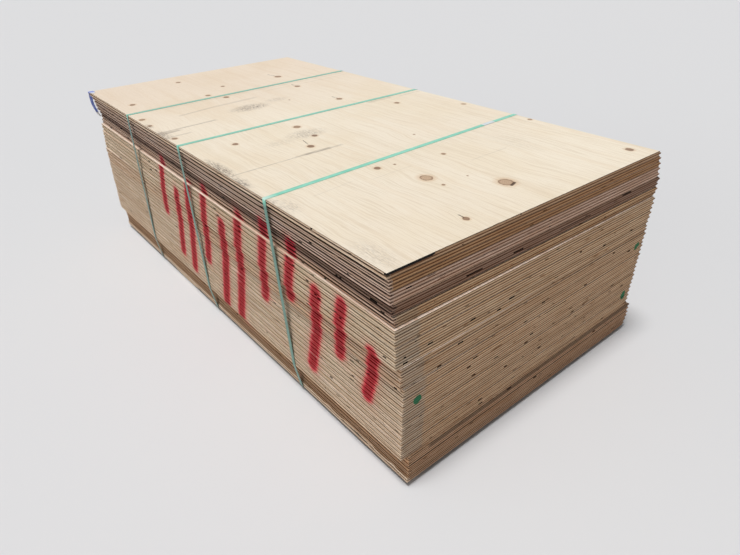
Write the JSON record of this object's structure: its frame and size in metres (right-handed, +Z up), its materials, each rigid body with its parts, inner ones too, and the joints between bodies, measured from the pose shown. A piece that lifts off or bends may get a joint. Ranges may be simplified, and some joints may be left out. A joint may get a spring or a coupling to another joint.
{
  "type": "stack of plywood sheets",
  "caption": "Strapped stack of tongue-and-groove plywood sheets, unevenly piled on low bearers, with a plastic tag on one corner.",
  "frame": {"origin": "bottom centre of the bounding box, on the floor under the bearers", "axes": "+X along the sheets' 8 ft length towards the near end, +Y across them towards the tongue edges, +Z up"},
  "size_m": [2.4632, 1.2826, 0.7838],
  "materials": {
    "plywood_top": "matte",
    "plywood_aged": "matte",
    "plywood_tan": "matte",
    "plywood_pale": "matte",
    "plywood_lower": "matte",
    "bearer": "matte",
    "strap": "glossy",
    "tag": "satin"
  },
  "bodies": {
    "root": {"sheet_01": "plywood_top", "sheet_02": "plywood_aged", "sheet_03": "plywood_aged", "sheet_04": "plywood_aged", "sheet_05": "plywood_aged", "sheet_06": "plywood_aged", "sheet_07": "plywood_aged", "sheet_08": "plywood_tan", "sheet_09": "plywood_tan", "sheet_10": "plywood_pale", "sheet_11": "plywood_pale", "sheet_12": "plywood_pale", "sheet_13": "plywood_pale", "sheet_14": "plywood_pale", "sheet_15": "plywood_pale", "sheet_16": "plywood_pale", "sheet_17": "plywood_pale", "sheet_18": "plywood_pale", "sheet_19": "plywood_pale", "sheet_20": "plywood_pale", "sheet_21": "plywood_pale", "sheet_22": "plywood_pale", "sheet_23": "plywood_pale", "sheet_24": "plywood_pale", "sheet_25": "plywood_pale", "sheet_26": "plywood_pale", "sheet_27": "plywood_pale", "sheet_28": "plywood_pale", "sheet_29": "plywood_pale", "sheet_30": "plywood_pale", "sheet_31": "plywood_pale", "sheet_32": "plywood_pale", "sheet_33": "plywood_pale", "sheet_34": "plywood_pale", "sheet_35": "plywood_pale", "sheet_36": "plywood_lower", "sheet_37": "plywood_lower", "sheet_38": "plywood_lower", "sheet_39": "plywood_lower", "sheet_40": "plywood_lower", "sheet_41": "plywood_lower", "bearer_1": "bearer", "bearer_2": "bearer", "bearer_3": "bearer", "bearer_4": "bearer", "strap_far": "strap", "strap_middle": "strap", "strap_near": "strap", "corner_tag": "tag"}
  },
  "joints": []
}
